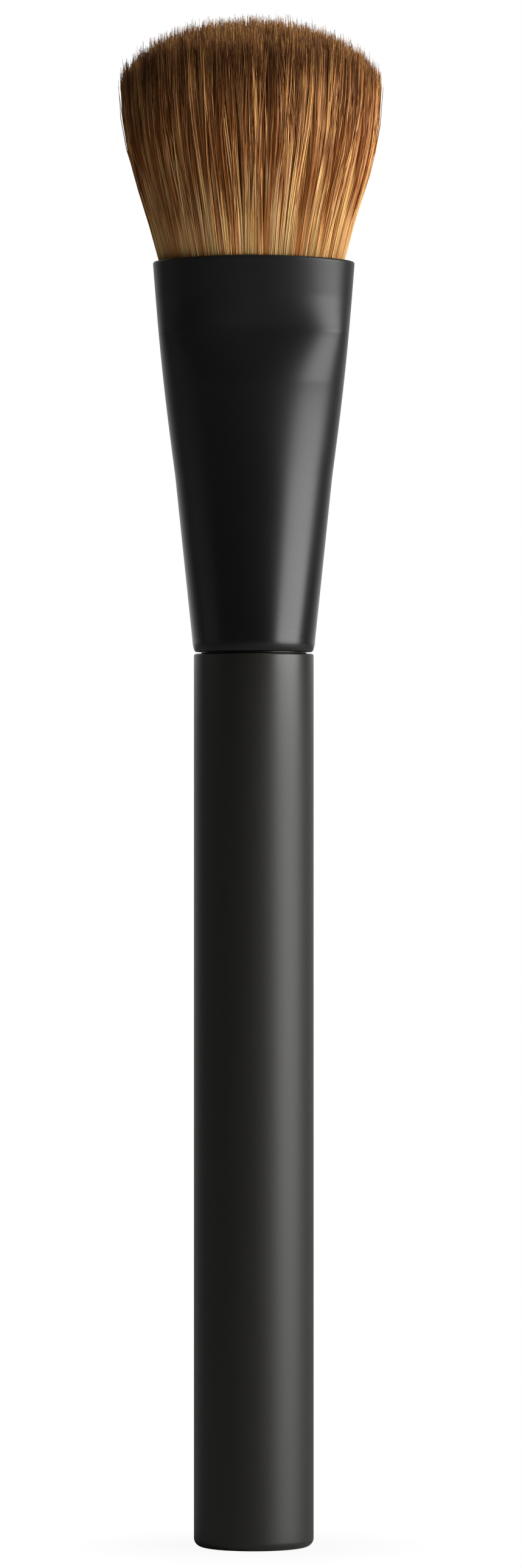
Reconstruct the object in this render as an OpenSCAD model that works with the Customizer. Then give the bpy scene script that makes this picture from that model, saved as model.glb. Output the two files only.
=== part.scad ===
// Foundation brush: a crowned hair tuft set in a pinched aluminium ferrule on a straight turned handle.
// +Z runs up the brush from the flat end of the handle to the tuft. X is the brush's wide way, -Y its front.

/* [Handle] */
// Diameter of the straight round handle
handle_diameter = 12.7; // [10:0.1:16]
// Length from the flat end of the handle to its shoulder under the ferrule
handle_length = 94.5; // [60:0.5:140]
// Radius of the rounded edge round the flat end
handle_end_radius = 0.9; // [0.3:0.1:2]
// Bevel round the shoulder under the ferrule
shoulder_bevel = 0.2; // [0.1:0.05:0.8]

/* [Tenon] */
// Length of the tenon above the shoulder, inside the ferrule
tenon_length = 14; // [9:0.5:20]
// Gap between the tenon and the ferrule's base, left for adhesive
tenon_clearance = 0.15; // [0.1:0.05:0.3]
// Depth of the neck that the rolled lip of the ferrule closes into, below the tenon's surface
neck_depth = 0.3; // [0.2:0.05:0.6]
// Height of that neck above the shoulder
neck_height = 1.9; // [1.4:0.1:3]
// Width of each adhesive groove round the tenon
glue_groove_width = 1.6; // [1.2:0.1:2.5]
// Depth of each adhesive groove
glue_groove_depth = 0.4; // [0.2:0.05:0.6]
// Number of adhesive grooves
glue_grooves = 2; // [1:1:3]
// Bevel round the top of the tenon
tenon_bevel = 0.8; // [0.3:0.1:1.5]

/* [Ferrule] */
// Length of the ferrule from its rolled lip to its rim
ferrule_length = 41.4; // [34:0.2:60]
// Diameter of the round base of the ferrule
ferrule_base_diameter = 13; // [11:0.1:17]
// Width of the mouth, outside
mouth_width = 21.4; // [18:0.2:28]
// Depth of the mouth, outside
mouth_depth = 14.6; // [12.6:0.2:18]
// Depth across the pinched crease, outside
crease_depth = 12; // [11:0.1:14]
// Height of the pressed band between the crease and the rim
band_height = 7.6; // [6:0.2:12]
// Height of the shoulder that falls from the cone to the crease
pinch_height = 5.4; // [4:0.2:8]
// Thickness of the aluminium wall
ferrule_wall = 0.5; // [0.3:0.05:0.8]
// How far the pinch spreads the ferrule on each side, beyond its straight cone
pinch_spread = 0.2; // [0:0.05:0.4]
// Radius of the rolled lip at the base
lip_radius = 2.5; // [1:0.1:4]
// Angle that the lip is rolled in by
lip_angle = 30; // [15:1:45]
// Open seam between the lip and the handle's shoulder
seam_gap = 0.1; // [0.05:0.05:0.4]

/* [Tuft] */
// Length of hair that stands out of the ferrule, at the crest of the crown
hair_length = 25.5; // [18:0.5:36]
// Width of the tuft at its belly
tuft_width = 27.6; // [24:0.2:36]
// Depth of the tuft at its belly
tuft_depth = 19; // [16:0.2:26]
// How far the crown falls from its crest to the tuft's two sides
crown_side_fall = 5.6; // [4:0.1:8]
// How far the crown falls from its crest to the tuft's front and back
crown_front_fall = 2.6; // [1:0.1:4]
// Number of strands round the outside of the tuft
outer_strands = 70; // [56:1:72]
// Distance between strands in the mouth
strand_spacing = 0.67; // [0.62:0.01:0.8]
// Radius of a strand in the mouth
strand_root_radius = 0.2; // [0.12:0.01:0.22]
// Radius of a strand at its bend, half way up
strand_belly_radius = 0.32; // [0.2:0.01:0.34]
// Radius of a strand at its tip
strand_tip_radius = 0.2; // [0.08:0.02:0.26]

/* [Setting] */
// Depth of the hair's resin slice below the rim
set_depth = 1.5; // [1:0.1:2.5]
// Thickness of the resin slice that the strands stand in
slice_thickness = 2; // [1.5:0.1:3]
// Height of the full collar of set hair under the slice
collar_height = 0.9; // [0.6:0.1:1.5]
// Width of the root bundle inside its binding
waist_width = 14.6; // [11:0.2:15]
// Depth of the root bundle inside its binding
waist_depth = 7.4; // [6:0.2:7.6]
// How much the root bundle spreads below its binding, on each side
butt_flare = 0.6; // [0.3:0.1:0.8]
// Height of the butt end below the binding
butt_height = 4; // [3:0.2:6]
// Thickness of the binding thread
thread_diameter = 0.6; // [0.4:0.05:0.8]
// Distance between turns of the binding thread
thread_pitch = 1.05; // [0.9:0.05:1.3]
// Turns of the binding thread
thread_turns = 4; // [3:1:5]
// Thickness of the potting resin under the butt end
resin_floor = 2.5; // [1.5:0.1:4]
// How far the potting resin rises round the butt end
resin_rise = 3; // [2:0.1:3.5]
// Thickness of adhesive over the top of the tenon
adhesive_bed = 0.8; // [0.4:0.1:1.5]

/* [Hidden] */
$fn = 96;

// Gap left between pieces that are bonded or cast against each other
bond_gap = 0.04;
// Gap left between the outermost strands and the ferrule's wall
hair_clearance = 0.35;
// Share of the width that the depth keeps where the cone ends and the pinch begins
shoulder_depth_share = 0.75;
// How much sooner the cone turns oval near its base: 0 is evenly all the way
oval_lead_share = 0.6;
// Squareness of a section: 2 is an ellipse, and the die left more at the crease and in the band above it
oval_squareness = 2;
crease_squareness = 3.2;
band_squareness = 2.35;
// Reach of the squareness down from the crease, in pinch heights, and the power that it fades by
square_run_share = 4;
square_run_power = 6;
// Reach of the crease's extra squareness up the band, as a share of the band, and the power that it fades by
square_rise_share = 0.5;
square_rise_power = 1.5;
// How sharply the shoulder rounds over into the crease
pinch_bend = 1.5;
// Reach of the pinch's spread down from the crease, in pinch heights
spread_run_share = 2.8;
// How quickly the hair splays out above the resin slice
splay_bend = 1.7;
// Share of its height at which a strand has its one bend
knee_share = 0.62;
// Share of the crown's fall to the sides that is an even curve. The rest of it is at the edge
crown_curve_share = 0.55;
// Powers by which the crown falls: in its even curve, at its sides, and to the front and back
crown_curve_power = 2;
crown_side_power = 4;
crown_front_power = 4;
// Share of the spacing that strands are moved by, at random
strand_stray_share = 0.07;
// Random seed of the strands
strand_seed = 11;
// Sides of a strand
strand_sides = 3;
// Height between rows of strands, as a share of their spacing
row_pitch_share = 0.9;
// Angle that evens out the outer strands' spacing round the oval
evening_angle = 6.5;
// Sides of the binding thread, and steps in each of its turns
thread_sides = 6;
thread_steps = 32;
// Sides round each section of the ferrule, and round what is cast inside it
ferrule_sides = 64;
inner_sides = 48;
// Steps along each curved stretch of a profile
lip_steps = 4;
cone_steps = 5;
pinch_steps = 7;
band_steps = 3;
edge_steps = 8;

handle_radius = handle_diameter / 2;
base_radius = ferrule_base_diameter / 2;
tenon_radius = base_radius - ferrule_wall - tenon_clearance;
neck_radius = tenon_radius - neck_depth;
tenon_top = handle_length + tenon_length;

lip_end = handle_length + seam_gap;
lip_centre_height = lip_end + lip_radius * sin(lip_angle);
lip_centre_radius = base_radius - lip_radius;
rim = lip_end + ferrule_length;
crease = rim - band_height;
shoulder = crease - pinch_height;

slice_top = rim - set_depth;
slice_bottom = slice_top - slice_thickness;
collar_bottom = slice_bottom - collar_height;
binding_height = thread_pitch * thread_turns + thread_diameter;
collar_taper = (mouth_depth - waist_depth) / 2;
waist_top = collar_bottom - collar_taper;
waist_bottom = waist_top - binding_height;
butt_bottom = waist_bottom - butt_height;
resin_bottom = butt_bottom - resin_floor;
resin_top = butt_bottom + resin_rise;

crest = rim + hair_length;
belly = crest - crown_side_fall;

// A value part way between two others.
function between(from, to, share) = from + (to - from) * share;

// Half the cone's outer width at a height. It is straight from its base to its rim.
function cone_half_width(z) =
    between(base_radius, mouth_width / 2, (z - lip_centre_height) / (rim - lip_centre_height));

// Half the ferrule's outer width at a height. The pinch spreads the cone, in an arch that ends at the rim.
function half_width(z) =
    let (low = crease - spread_run_share * pinch_height)
    cone_half_width(z) + pinch_spread * sin(180 * max(0, z - low) / (rim - low));

// Half the cone's outer depth at a height: round at the base, flattened at the shoulder.
function cone_half_depth(z) =
    let (
        up = (z - lip_centre_height) / (shoulder - lip_centre_height),
        flattened = up * (1 + oval_lead_share * (1 - up))
    )
    max(base_radius, cone_half_width(z) * between(1, shoulder_depth_share, flattened));

// Half the ferrule's outer depth at a height: the cone, the shoulder down to the crease, then the band.
function half_depth(z) =
    z <= shoulder ? cone_half_depth(z)
    : z <= crease ? between(crease_depth / 2, cone_half_depth(shoulder),
                            1 - pow((z - shoulder) / pinch_height, pinch_bend))
    : between(crease_depth / 2, mouth_depth / 2, (z - crease) / band_height);

// A share that is 1 up to the start of a stretch and fades to 0 over it.
function fade(distance, reach, power) = pow(max(0, 1 - max(0, distance) / reach), power);

// Squareness of the ferrule's section at a height. It is greatest at the crease.
function squareness(z) =
    let (pressed = between(band_squareness, crease_squareness,
                           fade(z - crease, square_rise_share * band_height, square_rise_power)))
    between(oval_squareness, pressed, fade(crease - z, square_run_share * pinch_height, square_run_power));

// One ring of a loft: height, half width, half depth, squareness. An inset moves it inside the ferrule's face.
function ferrule_ring(z, inset) = [z, half_width(z) - inset, half_depth(z) - inset, squareness(z)];

// A power that keeps its sign, for rings that are squarer than an ellipse.
function signed_power(value, power) = sign(value) * pow(abs(value), power);

// The points of a ring.
function ring_points(ring, count) = [
    for (i = [0 : count - 1])
        let (turn = 360 * i / count, power = 2 / ring[3])
        [ring[1] * signed_power(cos(turn), power), ring[2] * signed_power(sin(turn), power), ring[0]]
];

// The side faces between rings of the same number of points. A closed loft joins its last ring to its first.
function side_faces(rings, count, closed) = [
    for (i = [0 : rings - (closed ? 1 : 2)], j = [0 : count - 1])
        let (
            next = (i + 1) % rings,
            a = i * count + j,
            b = i * count + (j + 1) % count,
            c = next * count + j,
            d = next * count + (j + 1) % count
        )
        each [[a, c, b], [b, c, d]]
];

// A skin over rings: a tube with a wall where it is closed, and a solid with flat ends where it is not.
module loft(rings, count, closed = false) {
    ends = closed ? [] : [
        [for (j = [0 : count - 1]) j],
        [for (j = [count - 1 : -1 : 0]) (len(rings) - 1) * count + j]
    ];
    polyhedron(
        points = [for (ring = rings) each ring_points(ring, count)],
        faces = concat(side_faces(len(rings), count, closed), ends)
    );
}

// Points of an arc, as radius and height from the axis.
function arc(centre, radius, from, to, steps) = [
    for (i = [0 : steps])
        let (turn = between(from, to, i / steps))
        [centre[0] + radius * cos(turn), centre[1] + radius * sin(turn)]
];

// Middle height of one adhesive groove. The grooves share the tenon's side evenly.
function groove_height(i) =
    between(handle_length + neck_height, tenon_top - tenon_bevel, (i + 1) / (glue_grooves + 1));

// The tenon's side from its neck to its top, as radius and height, let out by a clearance.
function tenon_side(out) = [
    [tenon_radius + out, handle_length + neck_height + neck_depth],
    for (i = [0 : glue_grooves - 1])
        let (low = groove_height(i) - glue_groove_width / 2, high = low + glue_groove_width)
        each [
            [tenon_radius + out, low + out],
            [tenon_radius - glue_groove_depth + out, low + glue_groove_depth + out],
            [tenon_radius - glue_groove_depth + out, high - glue_groove_depth - out],
            [tenon_radius + out, high - out]
        ],
    [tenon_radius + out, tenon_top - tenon_bevel],
    [tenon_radius - tenon_bevel + out, tenon_top + out]
];

// Straight handle turned in one piece with the tenon that the ferrule sits on.
module handle() {
    color("#23211f")
    rotate_extrude()
    polygon(concat(
        [[0, 0]],
        arc([handle_radius - handle_end_radius, handle_end_radius], handle_end_radius, -90, 0, edge_steps),
        [
            [handle_radius, handle_length - shoulder_bevel],
            [handle_radius - shoulder_bevel, handle_length],
            [neck_radius, handle_length],
            [neck_radius, handle_length + neck_height]
        ],
        tenon_side(0),
        [[0, tenon_top]]
    ));
}

function reversed(list) = [for (i = [len(list) - 1 : -1 : 0]) list[i]];

// A ring of a given radius.
function round_ring(z, radius) = [z, radius, radius, oval_squareness];

// Adhesive that fills the taper between the tenon and the ferrule, keys into the grooves and covers the top.
module handle_adhesive() {
    side = tenon_side(bond_gap);
    low = side[0][1];
    high = tenon_top + adhesive_bed;
    steps = [for (i = [0 : cone_steps]) between(low, high, i / cone_steps)];
    color("#c9b27a")
    loft(concat(
        [for (point = reversed(side)) round_ring(point[1], point[0])],
        [for (z = steps) ferrule_ring(z, ferrule_wall + bond_gap)]
    ), inner_sides);
}

// One face of the rolled lip, as rings that run up from its edge to the cone.
function lip_rings(radius) = [
    for (i = [lip_steps : -1 : 1])
        let (turn = lip_angle * i / lip_steps)
        round_ring(lip_centre_height - radius * sin(turn), lip_centre_radius + radius * cos(turn))
];

// Heights of the ferrule's rings from its base to its rim.
ferrule_heights = concat(
    [for (i = [0 : cone_steps]) between(lip_centre_height, shoulder, i / cone_steps)],
    [for (i = [1 : pinch_steps]) between(shoulder, crease, i / pinch_steps)],
    [for (i = [1 : band_steps]) between(crease, rim, i / band_steps)]
);

function ferrule_face(inset) = concat(
    lip_rings(lip_radius - inset),
    [for (z = ferrule_heights) ferrule_ring(z, inset)]
);

// Drawn aluminium shell: a rolled lip, a cone that goes from round to oval, and a pinched mouth.
module ferrule() {
    color("#1d1d1d")
    loft(concat(ferrule_face(0), reversed(ferrule_face(ferrule_wall))), ferrule_sides, closed = true);
}

// Half width, half depth and squareness of the gathered hair inside its binding, let out by a clearance.
function waist_ring(z, out) = [z, waist_width / 2 + out, waist_depth / 2 + out, oval_squareness];

// Roots of the hair, glued into one block: a collar that fills the mouth, a bound waist and a spread butt end.
module hair_root_plug() {
    inset = ferrule_wall + bond_gap;
    color("#8a6238")
    loft([
        waist_ring(butt_bottom, butt_flare),
        waist_ring(waist_bottom - butt_flare, butt_flare),
        waist_ring(waist_bottom, 0),
        waist_ring(waist_top, 0),
        ferrule_ring(collar_bottom, inset),
        ferrule_ring(slice_bottom - bond_gap, inset)
    ], inner_sides);
}

// Potting resin cast in the ferrule, with the socket that the butt end of the hair stands in.
module root_resin() {
    inset = ferrule_wall + bond_gap;
    socket = butt_flare + bond_gap;
    steps = [for (i = [0 : cone_steps]) between(resin_bottom, resin_top, i / cone_steps)];
    color("#b08a4a")
    loft(concat(
        [for (z = steps) ferrule_ring(z, inset)],
        [waist_ring(resin_top, socket), waist_ring(butt_bottom - bond_gap, socket)]
    ), inner_sides);
}

// Middle line of the binding thread: a helix on the waist of the root bundle.
thread_radius = thread_diameter / 2;
thread_line = [
    for (i = [0 : thread_turns * thread_steps])
        let (ring = waist_ring(0, thread_radius + bond_gap), turn = 360 * i / thread_steps)
        [
            ring[1] * cos(turn),
            ring[2] * sin(turn),
            waist_bottom + thread_diameter + thread_pitch * (i / thread_steps)
        ]
];

// Least open distance between one turn of the thread and the next.
thread_gap = min([
    for (i = [0 : (thread_turns - 1) * thread_steps], j = [i + thread_steps / 2 : i + thread_steps * 3 / 2])
        if (j < len(thread_line)) norm(thread_line[j] - thread_line[i])
]) - thread_diameter;
echo(thread_gap = thread_gap);

function unit(v) = v / norm(v);

// Points round a tube at one point of its middle line.
function tube_ring(line, i, radius, sides) =
    let (
        along = unit(line[min(i + 1, len(line) - 1)] - line[max(i - 1, 0)]),
        side = unit(cross(along, [0, 0, 1])),
        up = cross(side, along)
    )
    [for (j = [0 : sides - 1]) line[i] + radius * (cos(360 * j / sides) * side + sin(360 * j / sides) * up)];

// Thread wound round the roots before they are glued in.
module binding_thread() {
    count = len(thread_line);
    color("#e8e2d2")
    polyhedron(
        points = [for (i = [0 : count - 1]) each tube_ring(thread_line, i, thread_radius, thread_sides)],
        faces = concat(
            side_faces(count, thread_sides, false),
            [
                [for (j = [0 : thread_sides - 1]) j],
                [for (j = [thread_sides - 1 : -1 : 0]) (count - 1) * thread_sides + j]
            ]
        )
    );
}

// Where the outermost strands leave the slice, and where they end at the belly.
root_x = half_width(slice_top) - ferrule_wall - hair_clearance - strand_root_radius;
root_y = half_depth(slice_top) - ferrule_wall - hair_clearance - strand_root_radius;
belly_x = tuft_width / 2 - strand_tip_radius;
belly_y = tuft_depth / 2 - strand_tip_radius;

// An angle moved so that even steps of it are nearly even steps round the oval mouth.
function evened(angle) = angle + evening_angle * sin(2 * angle);

// Places of the strands as shares of the mouth: a ring round the outside, and rows that fill it.
row_x = root_x - strand_spacing;
row_y = root_y - strand_spacing;
rows = floor(2 * row_y / (strand_spacing * row_pitch_share));
strand_places = concat(
    [
        for (i = [0 : outer_strands - 1])
            let (angle = evened(360 * i / outer_strands))
            [cos(angle), sin(angle)]
    ],
    [
        for (j = [0 : rows - 1])
            let (
                y = between(-row_y, row_y, (j + 0.5) / rows),
                half = row_x * sqrt(1 - pow(y / row_y, 2)),
                count = round(2 * half / strand_spacing)
            )
            for (i = [0 : count - 1]) [between(-half, half, (i + 0.5) / count) / root_x, y / root_y]
    ]
);
strays = rands(-strand_stray_share, strand_stray_share, 2 * len(strand_places), strand_seed);
turns = rands(0, 360, len(strand_places), strand_seed + 1);

// Share of its splay that a strand has reached at a height.
function splay(z) = z >= belly ? 1 : 1 - pow((belly - z) / (belly - slice_top), splay_bend);

// Middle of a strand at a height.
function strand_point(place, z) = [
    place[0] * between(root_x, belly_x, splay(max(z, slice_top))),
    place[1] * between(root_y, belly_y, splay(max(z, slice_top))),
    z
];

// Height of the crown over a place.
function crown(place) =
    let (
        side = abs(place[0]) * belly_x / (tuft_width / 2),
        front = abs(place[1]) * belly_y / (tuft_depth / 2),
        side_fall = between(pow(side, crown_side_power), pow(side, crown_curve_power), crown_curve_share)
    )
    crest - crown_side_fall * side_fall - crown_front_fall * pow(front, crown_front_power);

// One strand, from inside the slice to its tip on the crown.
module strand(place, turn) {
    tip = crown(place);
    heights = [slice_top - slice_thickness / 2, between(slice_top, tip, knee_share), tip];
    radii = [strand_root_radius, strand_belly_radius, strand_tip_radius];
    polyhedron(
        points = [
            for (i = [0 : len(heights) - 1], j = [0 : strand_sides - 1])
                let (angle = turn + 360 * j / strand_sides)
                strand_point(place, heights[i]) + radii[i] * [cos(angle), sin(angle), 0]
        ],
        faces = concat(
            side_faces(len(heights), strand_sides, false),
            [
                [for (j = [0 : strand_sides - 1]) j],
                [for (j = [strand_sides - 1 : -1 : 0]) (len(heights) - 1) * strand_sides + j]
            ]
        )
    );
}

// The tuft: strands fused to the slice of glued hair that they stand in.
module hair_tuft() {
    inset = ferrule_wall + bond_gap;
    color("#a8743c") {
        loft([ferrule_ring(slice_bottom, inset), ferrule_ring(slice_top, inset)], inner_sides);
        for (i = [0 : len(strand_places) - 1])
            strand(strand_places[i] + strand_spacing * [strays[2 * i] / root_x, strays[2 * i + 1] / root_y],
                   turns[i]);
    }
}

handle();
handle_adhesive();
ferrule();
root_resin();
hair_root_plug();
binding_thread();
hair_tuft();
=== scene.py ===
# %% [markdown]
# # Dressing a foundation brush
#
# A foundation brush is three things to the eye: a dense tuft of brown hair, a black metal ferrule that is
# pinched flat to hold it, and a straight black handle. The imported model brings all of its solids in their
# true places. This lesson gives each of them the skin that a camera sees, and never moves one of them.

# %% Load the frame
import math
from types import SimpleNamespace

import bpy
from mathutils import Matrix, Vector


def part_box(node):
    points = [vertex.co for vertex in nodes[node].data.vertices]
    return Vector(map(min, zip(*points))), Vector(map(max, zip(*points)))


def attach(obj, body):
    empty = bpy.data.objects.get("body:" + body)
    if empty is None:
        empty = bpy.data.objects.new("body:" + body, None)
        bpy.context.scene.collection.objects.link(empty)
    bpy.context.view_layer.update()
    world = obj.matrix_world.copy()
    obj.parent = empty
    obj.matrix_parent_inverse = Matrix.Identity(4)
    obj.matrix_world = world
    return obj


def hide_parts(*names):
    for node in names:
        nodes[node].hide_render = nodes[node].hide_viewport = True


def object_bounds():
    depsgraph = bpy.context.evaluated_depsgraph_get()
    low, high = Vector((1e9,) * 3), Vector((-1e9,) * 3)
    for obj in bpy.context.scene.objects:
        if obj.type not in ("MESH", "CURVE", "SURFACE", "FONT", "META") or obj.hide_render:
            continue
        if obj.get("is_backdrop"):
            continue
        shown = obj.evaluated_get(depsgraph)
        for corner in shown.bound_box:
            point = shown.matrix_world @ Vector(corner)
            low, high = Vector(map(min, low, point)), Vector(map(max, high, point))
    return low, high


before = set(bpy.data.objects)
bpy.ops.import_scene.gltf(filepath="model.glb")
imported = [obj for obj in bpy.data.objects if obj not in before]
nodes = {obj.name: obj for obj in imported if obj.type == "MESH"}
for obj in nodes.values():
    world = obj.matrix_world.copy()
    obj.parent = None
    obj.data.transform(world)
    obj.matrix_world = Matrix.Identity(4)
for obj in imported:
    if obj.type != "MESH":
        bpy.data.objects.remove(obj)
cad_low, cad_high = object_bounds()
MM = 0.001
print("solids:", ", ".join(sorted(nodes)))
print("size in mm:", [round((high - low) / MM, 2) for low, high in zip(cad_low, cad_high)])

# %% [markdown]
# ## The camera
#
# The curves of the handle's end and of the ferrule's seam say how near the camera stood: they bow by about
# ten pixels, which is what a circle of this size does from some 0.8 m away. The camera looks level along
# +Y from half the picture's height. In an upright picture Blender lays the sensor's width along the long
# side, so the lens follows from how many millimetres the picture's height spans at the brush.

# %% Place the camera
IMAGE_WIDTH, IMAGE_HEIGHT = 858, 2576
PIXELS_PER_MM = 15.51
AXIS_COLUMN, BASE_ROW = 417.1, 2540
CAMERA_DISTANCE = 785 * MM
CLIP_NEAR, CLIP_FAR = 0.05, 20.0
SENSOR = 36

pixel = MM / PIXELS_PER_MM
camera = bpy.data.objects.new("camera", bpy.data.cameras.new("camera"))
camera.data.sensor_width = SENSOR
camera.data.lens = SENSOR * CAMERA_DISTANCE / (IMAGE_HEIGHT * pixel)
camera.data.clip_start, camera.data.clip_end = CLIP_NEAR, CLIP_FAR
camera.location = (
    (IMAGE_WIDTH / 2 - AXIS_COLUMN) * pixel,
    -CAMERA_DISTANCE,
    (BASE_ROW - IMAGE_HEIGHT / 2) * pixel,
)
camera.rotation_euler = (math.radians(90), 0, 0)
bpy.context.scene.collection.objects.link(camera)
bpy.context.scene.camera = camera
bpy.context.scene.view_settings.view_transform = "Standard"
print("lens in mm:", round(camera.data.lens, 1), "at", [round(v / MM, 1) for v in camera.location])

# %% [markdown]
# ## Sums in a node tree
#
# The ferrule, the hair and the finishes all follow rules, and a rule in Blender is a chain of Math nodes.
# Written out, such a chain is long and hard to read. The small class below lets a plain sum stand for it:
# each + or * on a Number adds one Math node and its links. The functions after it take plain numbers too,
# so that one rule can shape a node tree here and be measured in Python there.


# %% A number that writes Math nodes
class Number:
    """A value inside a node tree."""

    def __init__(self, tree, socket):
        self.tree = tree
        self.socket = socket

    def step(self, operation, *values):
        node = self.tree.nodes.new("ShaderNodeMath")
        node.operation = operation
        for slot, value in zip(node.inputs, values):
            if isinstance(value, Number):
                self.tree.links.new(value.socket, slot)
            else:
                slot.default_value = value
        return Number(self.tree, node.outputs[0])

    def __add__(self, other):
        return self.step("ADD", self, other)

    def __sub__(self, other):
        return self.step("SUBTRACT", self, other)

    def __rsub__(self, other):
        return self.step("SUBTRACT", other, self)

    def __mul__(self, other):
        return self.step("MULTIPLY", self, other)

    def __truediv__(self, other):
        return self.step("DIVIDE", self, other)

    def __rtruediv__(self, other):
        return self.step("DIVIDE", other, self)

    def __pow__(self, other):
        return self.step("POWER", self, other)

    def __neg__(self):
        return self.step("MULTIPLY", self, -1)

    __radd__ = __add__
    __rmul__ = __mul__


# %% Functions for numbers of either kind
def apply(operation, plain, *values):
    """Runs a Math node where one of the values is a Number, and the plain Python function where none is."""
    for value in values:
        if isinstance(value, Number):
            return value.step(operation, *values)
    return plain(*values)


def sine(angle):
    return apply("SINE", math.sin, angle)


def cosine(angle):
    return apply("COSINE", math.cos, angle)


def root(value):
    return apply("SQRT", math.sqrt, value)


def size_of(value):
    return apply("ABSOLUTE", abs, value)


def sign_of(value):
    return apply("SIGN", lambda v: (v > 0) - (v < 0), value)


def larger(a, b):
    return apply("MAXIMUM", max, a, b)


def smaller(a, b):
    return apply("MINIMUM", min, a, b)


def share_between(value, low, high):
    """0 at low and below, 1 at high and above, and even in between."""
    return smaller(larger((value - low) / (high - low), 0), 1)


def eased_larger(a, b, reach):
    """The larger of two numbers, with a round blend of the given reach where they cross."""
    overlap = larger(reach - size_of(a - b), 0) / reach
    return larger(a, b) + overlap**3 * reach / 6


print("larger of 1 and 2, eased:", eased_larger(1, 2, 0.5))

# %% [markdown]
# ## Trees with named inputs
#
# A geometry tree is easiest to tune and to reuse when its sizes are inputs with names, so the helpers below
# start such a tree and fill in its nodes. Each node could be set up by hand in the editor, but a script that
# builds it can be read, and gives the same tree in every run.


# %% Add nodes to a tree
def feed(tree, node, inputs):
    """Links a node's inputs to sockets and Numbers, or sets them, by name or by number."""
    for place, value in inputs.items():
        slot = node.inputs[place]
        if isinstance(value, Number):
            value = value.socket
        if isinstance(value, bpy.types.NodeSocket):
            tree.links.new(value, slot)
        elif slot.type == "RGBA":
            slot.default_value = (*value, 1)
        else:
            slot.default_value = value


def add_node(tree, kind, inputs=(), **settings):
    """A new node with its settings and its inputs."""
    node = tree.nodes.new(kind)
    for setting, value in settings.items():
        setattr(node, setting, value)
    feed(tree, node, dict(inputs))
    return node


def parts_of(tree, vector):
    """The three numbers of a vector or a colour."""
    split = add_node(tree, "ShaderNodeSeparateXYZ", {0: vector})
    return [Number(tree, socket) for socket in split.outputs]


def vector_of(tree, x, y, z=0.0):
    return add_node(tree, "ShaderNodeCombineXYZ", {"X": x, "Y": y, "Z": z}).outputs[0]


def moved_to(tree, geometry, place):
    inputs = {"Geometry": geometry, "Position": place}
    return add_node(tree, "GeometryNodeSetPosition", inputs).outputs[0]


# %% Start and end a geometry tree
def start_tree(name, **inputs):
    """A new geometry tree, and its inputs by name, as Numbers."""
    tree = bpy.data.node_groups.new(name, "GeometryNodeTree")
    for label, start in inputs.items():
        kind = "NodeSocketInt" if isinstance(start, int) else "NodeSocketFloat"
        socket = tree.interface.new_socket(label, in_out="INPUT", socket_type=kind)
        socket.default_value = start
    tree.interface.new_socket("Mesh", in_out="OUTPUT", socket_type="NodeSocketGeometry")
    entry = tree.nodes.new("NodeGroupInput")
    return tree, {label: Number(tree, entry.outputs[label]) for label in inputs}


def end_tree(tree, geometry, material):
    """Smooth shading, real meshes for instances, and the finish."""
    smooth = add_node(tree, "GeometryNodeSetShadeSmooth", {"Geometry": geometry})
    real = add_node(tree, "GeometryNodeRealizeInstances", {"Geometry": smooth.outputs[0]})
    coat = {"Geometry": real.outputs[0], "Material": material}
    coated = add_node(tree, "GeometryNodeSetMaterial", coat)
    add_node(tree, "NodeGroupOutput", {"Mesh": coated.outputs[0]})
    return tree


# %% [markdown]
# Every tree ends in Realize Instances and Set Material, because an export drops instances. A live modifier
# doesn't travel either. So the next helper gives the tree to an empty object, sets the inputs by their
# identifiers before the tree first runs, and keeps the result as a plain mesh.


# %% Run a geometry tree
def grown(name, tree, material, **values):
    """Runs a tree with these input values and keeps what it makes as a plain mesh piece."""
    seed = bpy.data.objects.new(name, bpy.data.meshes.new(name))
    bpy.context.scene.collection.objects.link(seed)
    modifier = seed.modifiers.new("grow", "NODES")
    modifier.node_group = tree
    for socket in tree.interface.items_tree:
        if socket.in_out == "INPUT" and socket.name in values:
            modifier[socket.identifier] = values[socket.name]
    evaluated = seed.evaluated_get(bpy.context.evaluated_depsgraph_get())
    mesh = bpy.data.meshes.new_from_object(evaluated)
    seed.modifiers.remove(modifier)
    seed.data = mesh
    mesh.name = name
    mesh.materials.clear()
    mesh.materials.append(material)
    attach(seed, "root")
    print(name, "has", sum(len(face.vertices) - 2 for face in mesh.polygons), "triangles")
    return seed


# %% [markdown]
# ## Finishes
#
# A finish on a product this dark is mostly its gloss. Colour, roughness and bump each come from noise that
# is stretched the way the making stretched it: round the ferrule, which was drawn on a turning tool, and
# along the handle, which was dipped upright in lacquer. All of it reads Object coordinates, so that the
# pattern stays where it is on the piece.


# %% Helpers for a finish
def new_finish(name):
    """A material with its tree and its one shader."""
    material = bpy.data.materials.new(name)
    material.use_nodes = True
    tree = material.node_tree
    return material, tree, tree.nodes["Principled BSDF"]


def object_place(tree):
    return add_node(tree, "ShaderNodeTexCoord").outputs["Object"]


def object_noise(tree, stretch, detail):
    """Noise on Object coordinates, in cycles per metre along each axis."""
    mapping = add_node(tree, "ShaderNodeMapping", {"Vector": object_place(tree), "Scale": stretch})
    inputs = {"Vector": mapping.outputs[0], "Scale": 1.0, "Detail": detail}
    return Number(tree, add_node(tree, "ShaderNodeTexNoise", inputs).outputs["Fac"])


def between_colours(tree, share, low, high):
    """A colour that runs from one to the other with a share."""
    inputs = {"Factor": share, "A": low, "B": high}
    return add_node(tree, "ShaderNodeMix", inputs, data_type="RGBA").outputs["Result"]


def add_bump(tree, shader, height, depth):
    """Small relief from a height between 0 and 1, with its depth in metres."""
    bump = add_node(tree, "ShaderNodeBump", {"Height": height, "Distance": depth, "Strength": 1.0})
    feed(tree, shader, {"Normal": bump.outputs["Normal"]})


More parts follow.
